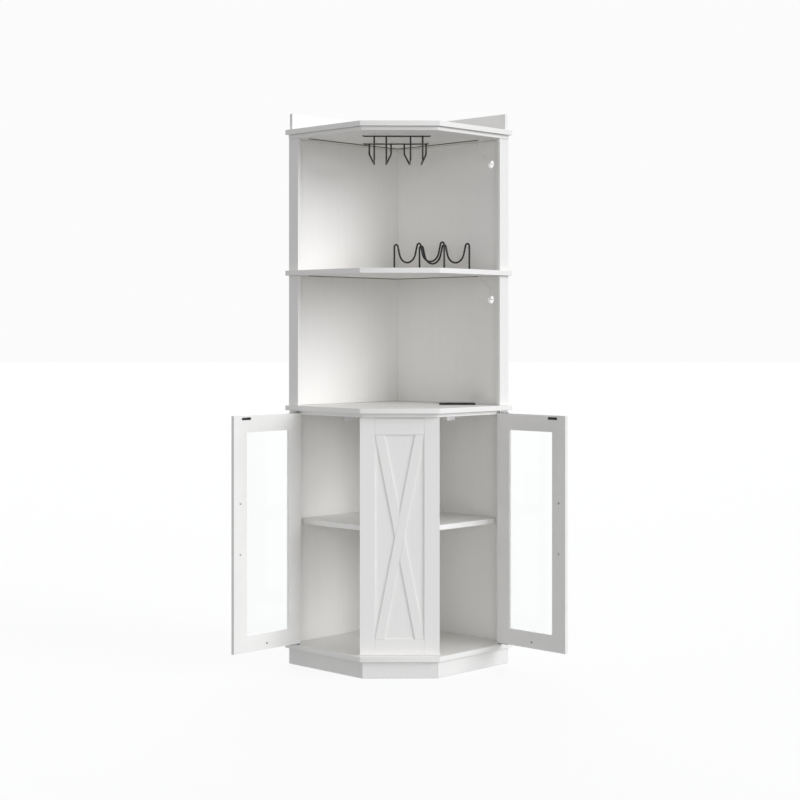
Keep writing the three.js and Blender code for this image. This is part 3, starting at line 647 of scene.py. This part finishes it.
def add_door_furniture(name, side):
    matrix = door_axes(side)
    body = f"door_{name}"
    add_handle(name, matrix, body)
    add_strike(name, matrix, body)

    stud = bmesh.new()
    add_lathe(stud, STUD_PLACE, (0, -1, 0), rounded_rod(*STUD_SHAPE), 24)
    local_piece(f"rail_stud_{name}", stud, matrix, RUBBER, body, "black_plastic")

    add_hinges(name, matrix, body)

    bead = bmesh.new()
    margin = DOOR_MEMBER - BEAD_REACH
    add_bead(bead, (DOOR_START + margin, margin), (DOOR_END - margin, DOOR_HEIGHT - margin),
             BEAD_WIDE, BEAD_FACE, BEAD_TALL)
    local_piece(f"glazing_bead_{name}", bead, matrix, SILICONE, body, "clear_glass")


def add_bead(bm, low, high, wide, y, height):
    """A low bead round a rectangle in the x-z plane, on the plane y."""
    profile = ((0, 0), (0, height), (wide * 0.6, height * 0.8), (wide, 0))
    corners = ((low[0], low[1], 1, 1), (high[0], low[1], -1, 1),
               (high[0], high[1], -1, -1), (low[0], high[1], 1, -1))
    rows = [[bm.verts.new((x + dx * inward, y + out, z + dz * inward)) for inward, out in profile]
            for x, z, dx, dz in corners]
    for i in range(4):
        here, ahead = rows[i], rows[(i + 1) % 4]
        for k in range(4):
            m = (k + 1) % 4
            bm.faces.new((here[k], here[m], ahead[m], ahead[k]))


for door_name, door_side in SIDES:
    add_door_furniture(door_name, door_side)


# Magnetic catches: a white housing, two steel poles that meet the strike plate, two screws.
# Face and back are measured behind the line of the side facet.
CATCH_TALL = 11
CATCH_FACE = 16.2
CATCH_BACK = 31
CATCH_ROUND = 1.0
POLE_FACE = 15
POLE_BACK = 20
POLE_INSET = 4
POLE_RISES = (2.2, 6.4)
POLE_THICK = 1.6
POLE_ROUND = 0.25
CATCH_SCREW_INSET = 6.5
CATCH_SCREW_BACK = 25
CATCH_SCREW_SINK = 0.2
CATCH_SCREW = 2.8


def add_catch(name, side):
    matrix = facet_axes(side)
    start = DOOR_FREE_END + STRIKE_FROM_END
    end = start + STRIKE_LONG
    base, top = COUNTER_LINER_BASE - CATCH_TALL, COUNTER_LINER_BASE - SEAT_GAP
    housing = bmesh.new()
    add_block(housing, (start, CATCH_FACE, base), (end, CATCH_BACK, top), CATCH_ROUND, 3)
    local_piece(f"catch_housing_{name}", housing, matrix, WHITE_ABS, "cabinet", "white_plastic",
                (f"catch_{name}",))
    poles = bmesh.new()
    for z in (base + rise for rise in POLE_RISES):
        add_block(poles, (start + POLE_INSET, POLE_FACE, z),
                  (end - POLE_INSET, POLE_BACK, z + POLE_THICK), POLE_ROUND)
    local_piece(f"catch_poles_{name}", poles, matrix, ZINC, "cabinet", "grey_steel")
    screws = bmesh.new()
    for x in (start + CATCH_SCREW_INSET, end - CATCH_SCREW_INSET):
        add_screw(screws, (x, CATCH_SCREW_BACK, base + CATCH_SCREW_SINK), (0, 0, -1), CATCH_SCREW)
    local_piece(f"catch_screws_{name}", screws, matrix, ZINC, "cabinet", "grey_steel")


for catch_name, catch_side in SIDES:
    add_catch(catch_name, catch_side)


# Stemware rack: two cross bars under the top liner, and four wires bent into rails. Like its
# bars, it hangs a little left of the middle. Rails and feet are measured from its own middle.
RACK_MIDDLE = -2.5
RACK_BAR_MIDDLE = -8.5
RACK_BAR_HALF = 103.5
RACK_BAR_RADIUS = 2
RACK_TAB_HALF = 106.5
RACK_TAB = (4.5, 2, 0.5)
RACK_SCREW = 2.3
RACK_SCREW_SINK = 0.2
RACK_REAR_FROM_CORNER = 246
RACK_BAR_SPACING = 216
RACK_RAILS_AND_FEET = ((39, 22), (78, 95))
RACK_DROP = 73.5
RACK_REAR_DROP = 34
RACK_RAIL_LONG = 164
RACK_BEND = 9
RACK_WIRE = 2.75


def add_stemware_rack():
    bar_z = TOP_LINER_BASE - SEAT_GAP - RACK_BAR_RADIUS
    rail_z = bar_z - RACK_DROP
    rear = BACK_CORNER_Y - RACK_REAR_FROM_CORNER
    front = rear - RACK_BAR_SPACING
    wires = bmesh.new()
    screws = bmesh.new()
    for y in (front, rear):
        add_tube(wires, [(RACK_BAR_MIDDLE - RACK_BAR_HALF, y, bar_z),
                         (RACK_BAR_MIDDLE + RACK_BAR_HALF, y, bar_z)], RACK_BAR_RADIUS)
        for end in (RACK_BAR_MIDDLE - RACK_TAB_HALF, RACK_BAR_MIDDLE + RACK_TAB_HALF):
            add_lathe(wires, (end, y, bar_z), (0, 0, 1), rounded_rod(*RACK_TAB), 28)
            add_screw(screws, (end, y, bar_z + RACK_SCREW_SINK), (0, 0, -1), RACK_SCREW, turn=end)
    for rail_x, foot_x in RACK_RAILS_AND_FEET:
        for _, side in SIDES:
            rail, foot = RACK_MIDDLE + side * rail_x, RACK_MIDDLE + side * foot_x
            corners = [(rail, front, bar_z), (rail, front, rail_z),
                       (rail, front + RACK_RAIL_LONG, rail_z),
                       (foot, rear, bar_z - RACK_REAR_DROP), (foot, rear, bar_z)]
            add_tube(wires, round_bends(corners, RACK_BEND), RACK_WIRE)
    local_piece("stemware_wires", wires, WORLD_MM, POWDER_COAT, "cabinet", "black_wire",
                ("stemware_rack",))
    local_piece("stemware_screws", screws, WORLD_MM, POWDER_COAT, "cabinet", "black_wire")


add_stemware_rack()


# Bottle rack: two wavy wires over three peaks and two cradles, on two foot wires
BOTTLE_WIRE = 3
BOTTLE_PITCH = 105
CRADLE_RADIUS = 38
PEAK_RADIUS = 8.5
CRADLE_DEEP = 61.5
CRADLE_HEIGHT = 30
BOTTLE_MIDDLE_INSET = 242
BOTTLE_FROM_WALL = 50
BOTTLE_WIRE_SPACING = 122
BOTTLE_FOOT_REACH = 10
TIP_LONG = 11
TIP_WALL = 0.5
TIP_ROUND = 0.9
TIP_OVERLAP = 1.2
TIP_LIFT = 0.2


def bottle_profile(steps=14):
    """Path of a wavy wire, as points across the rack and up from its foot, with the places
    of its legs and feet."""
    across = BOTTLE_PITCH / 2
    radii = CRADLE_RADIUS + PEAK_RADIUS
    rise = CRADLE_DEEP - radii
    steep = math.atan2(rise, across) + math.asin(radii / math.hypot(rise, across))
    peak_z = CRADLE_HEIGHT + CRADLE_DEEP - PEAK_RADIUS
    cradle_z = CRADLE_HEIGHT + CRADLE_RADIUS

    def arc(x, z, radius, start, end):
        turns = [start + (end - start) * i / steps for i in range(steps + 1)]
        return [(x + radius * math.sin(t), z + radius * math.cos(t)) for t in turns]

    leg = BOTTLE_PITCH + PEAK_RADIUS
    foot = BOTTLE_WIRE + SEAT_GAP
    points = [(-leg, foot)]
    points += arc(-BOTTLE_PITCH, peak_z, PEAK_RADIUS, -math.pi / 2, steep)
    points += arc(-across, cradle_z, -CRADLE_RADIUS, steep, -steep)
    points += arc(0, peak_z, PEAK_RADIUS, -steep, steep)
    points += arc(across, cradle_z, -CRADLE_RADIUS, steep, -steep)
    points += arc(BOTTLE_PITCH, peak_z, PEAK_RADIUS, -steep, math.pi / 2)
    points += [(leg, foot)]
    return points, leg, foot


def add_bottle_rack():
    rear = WALL_INNER - BOTTLE_FROM_WALL
    front = rear - BOTTLE_WIRE_SPACING
    matrix = facet_axes(1)
    profile, leg, foot = bottle_profile()
    wires = bmesh.new()
    tips = bmesh.new()
    for along in (front, rear):
        add_tube(wires, [(along, BOTTLE_MIDDLE_INSET + x, MIDDLE_TOP + z) for x, z in profile],
                 BOTTLE_WIRE)
    for inset in (BOTTLE_MIDDLE_INSET - leg, BOTTLE_MIDDLE_INSET + leg):
        ends = (front - BOTTLE_FOOT_REACH, rear + BOTTLE_FOOT_REACH)
        z = MIDDLE_TOP + foot
        add_tube(wires, [(end, inset, z) for end in ends], BOTTLE_WIRE)
        for end, inward in zip(ends, (1, -1)):
            add_lathe(tips, (end - inward * TIP_OVERLAP, inset, z + TIP_LIFT), (inward, 0, 0),
                      rounded_rod(BOTTLE_WIRE + TIP_WALL, TIP_LONG, TIP_ROUND), 24)
    local_piece("bottle_wires", wires, matrix, POWDER_COAT, "cabinet", "black_wire",
                ("bottle_rack",))
    local_piece("bottle_rack_tips", tips, matrix, RUBBER, "cabinet", "black_plastic")


add_bottle_rack()


# Light strips: a flexible circuit tape with its chips, and the lead from its right end to the
# hole in the wall
TAPE_HALF_WIDE = 5
TAPE_THICK = 1.4
CHIP_PITCH = 16.7
CHIP_FROM_END = 8
CHIP_HALF_WIDE = 1.4
CHIP_HALF_LONG = 1.75
CHIP_TOP = 1.3
CHIP_BASE = 2.5
CHIP_ROUND = 0.2
LEAD_RADIUS = 1.25
LEAD_BEND = 4
LEAD_LAP = 4
LEAD_STUB = 7
LEAD_BELOW = 1.5
LEAD_WALL_ALONG = WALL_INNER - SEAT_GAP - LEAD_RADIUS
LEAD_HOLE_INSET = 79
LEAD_HOLE_DROP = 77


def add_light_strip(name, base, from_edge, left_end, right_end, lead_via):
    outer, inner = from_edge - TAPE_HALF_WIDE, from_edge + TAPE_HALF_WIDE
    top = base - SEAT_GAP
    along = FACET_RUN - from_edge

    def corner(inset):
        return Vector((0, BACK_CORNER_Y - inset * ROOT2)) * MM

    def end(side, line, inset):
        return place(side, FACET_RUN - line, inset, 0).to_2d()

    outline = [end(1, outer, right_end), corner(outer), end(-1, outer, left_end),
               end(-1, inner, left_end), corner(inner), end(1, inner, right_end)]
    tape = bmesh.new()
    add_rings(tape, [[Vector((p.x, p.y, z * MM)) for p in outline]
                     for z in (top - TAPE_THICK, top)])
    finish_piece(f"circuit_tape_{name}", tape, CIRCUIT_TAPE, "cabinet", "strip_plastic",
                 (f"light_strip_{name}",))

    chips = bmesh.new()
    for side, start in ((-1, left_end), (1, right_end)):
        block = bmesh.new()
        run = WALL_RUN - from_edge - start
        for i in range(int((run - CHIP_FROM_END) / CHIP_PITCH)):
            inset = start + CHIP_FROM_END + i * CHIP_PITCH
            add_block(block, (along - CHIP_HALF_WIDE, inset - CHIP_HALF_LONG, top - CHIP_BASE),
                      (along + CHIP_HALF_WIDE, inset + CHIP_HALF_LONG, top - CHIP_TOP),
                      CHIP_ROUND, 1)
        block.transform(facet_axes(side))
        bare = bpy.data.meshes.new("chips")
        block.to_mesh(bare)
        block.free()
        chips.from_mesh(bare)
        bpy.data.meshes.remove(bare)
    finish_piece(f"light_chips_{name}", chips, PHOSPHOR, "cabinet", "strip_plastic")

    lead_z = top - LEAD_BELOW - LEAD_RADIUS / 4
    corners = [(along, right_end + LEAD_LAP, lead_z), (along, right_end - LEAD_STUB, lead_z),
               lead_via, (LEAD_WALL_ALONG, LEAD_HOLE_INSET, base - LEAD_HOLE_DROP),
               (WALL_OUTER, LEAD_HOLE_INSET, base - LEAD_HOLE_DROP)]
    lead = bmesh.new()
    add_tube(lead, round_bends(corners, LEAD_BEND), LEAD_RADIUS, 12)
    local_piece(f"light_lead_{name}", lead, facet_axes(1), PVC_LEAD, "cabinet", "strip_plastic")


# The top lead hangs from its strip before it slants to the hole, and the middle one slants to the
# wall and runs down it
TOP_FROM_EDGE, TOP_LEFT_END, TOP_RIGHT_END = 60, 51, 97
MIDDLE_FROM_EDGE, MIDDLE_LEFT_END, MIDDLE_RIGHT_END = 45, 64, 110
TOP_LEAD_DROP = 28
MIDDLE_LEAD_DROP = 39

add_light_strip("top", TOP_LINER_BASE, TOP_FROM_EDGE, TOP_LEFT_END, TOP_RIGHT_END,
                (FACET_RUN - TOP_FROM_EDGE, TOP_RIGHT_END - LEAD_STUB,
                 TOP_LINER_BASE - TOP_LEAD_DROP))
add_light_strip("middle", MIDDLE_BASE, MIDDLE_FROM_EDGE, MIDDLE_LEFT_END, MIDDLE_RIGHT_END,
                (LEAD_WALL_ALONG, LEAD_HOLE_INSET, MIDDLE_BASE - MIDDLE_LEAD_DROP))


# Power outlet: a rim on the counter, two socket wells and a charging port between them. The
# slots start above the counter and run up past the rim.
OUTLET_FROM_WALL = 76
OUTLET_INSET = 159
RIM_SIZE = (118, 62, 5.7)
RIM_CORNER = 8
RIM_ROUND = 1.8
WELL_REACH = 25
WELL_BASE = 3
WELL_PROFILE = [(16.2, 0), (17, 0.8), (17, 8)]
SLOT_BASE = 1.2
CUT_TALL = 8
BLADE_REACH = 6.3
BLADE_HALF_WIDE = 1.1
BLADE_ENDS = (-1, 7)
EARTH_PLACE = -7
EARTH_RADIUS = 2.5
PORT_HALF = (2.6, 6.5)
PORT_FLOOR = 0.4
TONGUE_HALF = (0.7, 5)
TONGUE_ENDS = (0.3, 3.4)
TONGUE_ROUND = 0.1
BODY_HALF = (52, 24)
BODY_DEEP = 28
BODY_LAP = 0.6
BODY_ROUND = 1.0


def add_centred_block(bm, x, y, half, base, top, round_over=0.0):
    add_block(bm, (x - half[0], y - half[1], base), (x + half[0], y + half[1], top), round_over)


def add_outlet():
    middle = place(1, WALL_INNER - OUTLET_FROM_WALL, OUTLET_INSET, 0) / MM
    x, y = middle.x, middle.y
    slot_z = COUNTER_TOP + SLOT_BASE
    slot_top = slot_z + CUT_TALL
    body = bmesh.new()
    add_plate(body, (x, y, COUNTER_TOP + SEAT_GAP), RIM_SIZE, RIM_CORNER, RIM_ROUND)
    wells = bmesh.new()
    slots = bmesh.new()
    for well in (x - WELL_REACH, x + WELL_REACH):
        add_lathe(wells, (well, y, COUNTER_TOP + WELL_BASE), (0, 0, 1), WELL_PROFILE, 40)
        for blade in (well - BLADE_REACH, well + BLADE_REACH):
            add_block(slots, (blade - BLADE_HALF_WIDE, y + BLADE_ENDS[0], slot_z),
                      (blade + BLADE_HALF_WIDE, y + BLADE_ENDS[1], slot_top))
        add_lathe(slots, (well, y + EARTH_PLACE, slot_z), (0, 0, 1),
                  [(EARTH_RADIUS, 0), (EARTH_RADIUS, CUT_TALL)], 20)
    add_centred_block(slots, x, y, PORT_HALF, slot_z + PORT_FLOOR, slot_top)
    body = carved(carved(body, wells), slots)
    add_centred_block(body, x, y, BODY_HALF, COUNTER_TOP - BODY_DEEP, COUNTER_TOP + BODY_LAP,
                      BODY_ROUND)
    local_piece("outlet", body, WORLD_MM, MOULDED_ABS, "cabinet", "black_plastic",
                ("power_outlet",))
    tongue = bmesh.new()
    add_centred_block(tongue, x, y, TONGUE_HALF, slot_z + TONGUE_ENDS[0], slot_z + TONGUE_ENDS[1],
                      TONGUE_ROUND)
    local_piece("outlet_port_tongue", tongue, WORLD_MM, ZINC, "cabinet", "grey_steel")


add_outlet()

# Shelf pins keep their solids
for name in BODY_OF:
    if name.startswith("shelf_pin_"):
        pin = frame["nodes"][name].data
        pin.materials.clear()
        pin.materials.append(ZINC)

PAN_HEAD.free()


# Floor and lights, in metres. The room lights the cabinet with the sky and ground strengths,
# and is seen paler than that, directly and through the panes.
FLOOR_GLOW = 0.87
FLOOR_HALF = 60
FLOOR_BASE, FLOOR_TOP = -0.05, -0.0002
LAMP_WHITE = "#F9FBFF"
ROOM_SEEN = 0.97
SKY_LIGHT = 0.445
GROUND_LIGHT = 0.288
HORIZON_BLEND = 0.02


def pale_floor():
    """Studio floor that glows like a light table, so that it is as pale as the room round it."""
    material, tree, shader = blank_material("glowing_studio_floor")
    place_on = node(tree, "TexCoord").outputs["Object"]
    mottle = node(tree, "TexNoise", {"Vector": place_on, "Scale": per_mm(400)[0],
                                     "Detail": 3.0}).outputs["Fac"]
    tone = node(tree, "ValToRGB", {"Fac": mottle})
    tone.color_ramp.elements[0].color = linear("#5A5A5A")
    tone.color_ramp.elements[1].color = linear("#5C5C5C")
    tree.links.new(tone.outputs["Color"], shader.inputs["Base Color"])
    shader.inputs["Roughness"].default_value = 0.9
    shader.inputs["Specular IOR Level"].default_value = 0.1
    shader.inputs["Emission Color"].default_value = linear("#FFFFFF")
    shader.inputs["Emission Strength"].default_value = FLOOR_GLOW
    material.cycles.emission_sampling = "NONE"
    return material


ground = bmesh.new()
add_block(ground, (-FLOOR_HALF, -FLOOR_HALF, FLOOR_BASE), (FLOOR_HALF, FLOOR_HALF, FLOOR_TOP))
ground_mesh = bpy.data.meshes.new("floor")
ground.to_mesh(ground_mesh)
ground.free()
ground_mesh.materials.append(pale_floor())
floor = bpy.data.objects.new("floor", ground_mesh)
scene.collection.objects.link(floor)
floor.visible_diffuse = False
floor.visible_shadow = False


def sun(name, power, softness, heading, height):
    """A soft even light, angles in degrees: heading is measured to the right of the front of
    the cabinet."""
    data = bpy.data.lights.new(name, "SUN")
    data.energy = power
    data.angle = math.radians(softness)
    data.color = linear(LAMP_WHITE)[:3]
    lamp = bpy.data.objects.new(name, data)
    turn, rise = math.radians(heading), math.radians(height)
    towards = Vector((math.sin(turn) * math.cos(rise), -math.cos(turn) * math.cos(rise),
                      math.sin(rise)))
    lamp.rotation_euler = towards.to_track_quat("Z", "Y").to_euler()
    scene.collection.objects.link(lamp)


sun("key_from_the_right", 1.78, 35, 62, 20)
sun("fill_from_the_front", 0.56, 35, 0, 0)
sun("overhead", 0.57, 60, 0, 90)
sun("rim_from_behind", 0.7, 35, 180, 25)

room = bpy.data.worlds.new("pale_room")
room.use_nodes = True
scene.world = room
tree = room.node_tree
tree.nodes.clear()
ray = node(tree, "LightPath")
seen = node(tree, "Math", {0: ray.outputs["Is Camera Ray"], 1: ray.outputs["Is Transmission Ray"]},
            operation="MAXIMUM")
towards = node(tree, "SeparateXYZ", {"Vector": node(tree, "TexCoord").outputs["Generated"]})
light = node(tree, "MapRange", {"Value": towards.outputs["Z"], "From Min": -HORIZON_BLEND,
                                "From Max": HORIZON_BLEND, "To Min": GROUND_LIGHT,
                                "To Max": SKY_LIGHT})
dim = node(tree, "Background", {"Color": linear(LAMP_WHITE), "Strength": light.outputs["Result"]})
pale = node(tree, "Background", {"Color": linear("#FFFFFF"), "Strength": ROOM_SEEN})
mixed = node(tree, "MixShader", {0: seen.outputs["Value"], 1: dim.outputs["Background"],
                                 2: pale.outputs["Background"]})
node(tree, "OutputWorld", {"Surface": mixed.outputs["Shader"]})
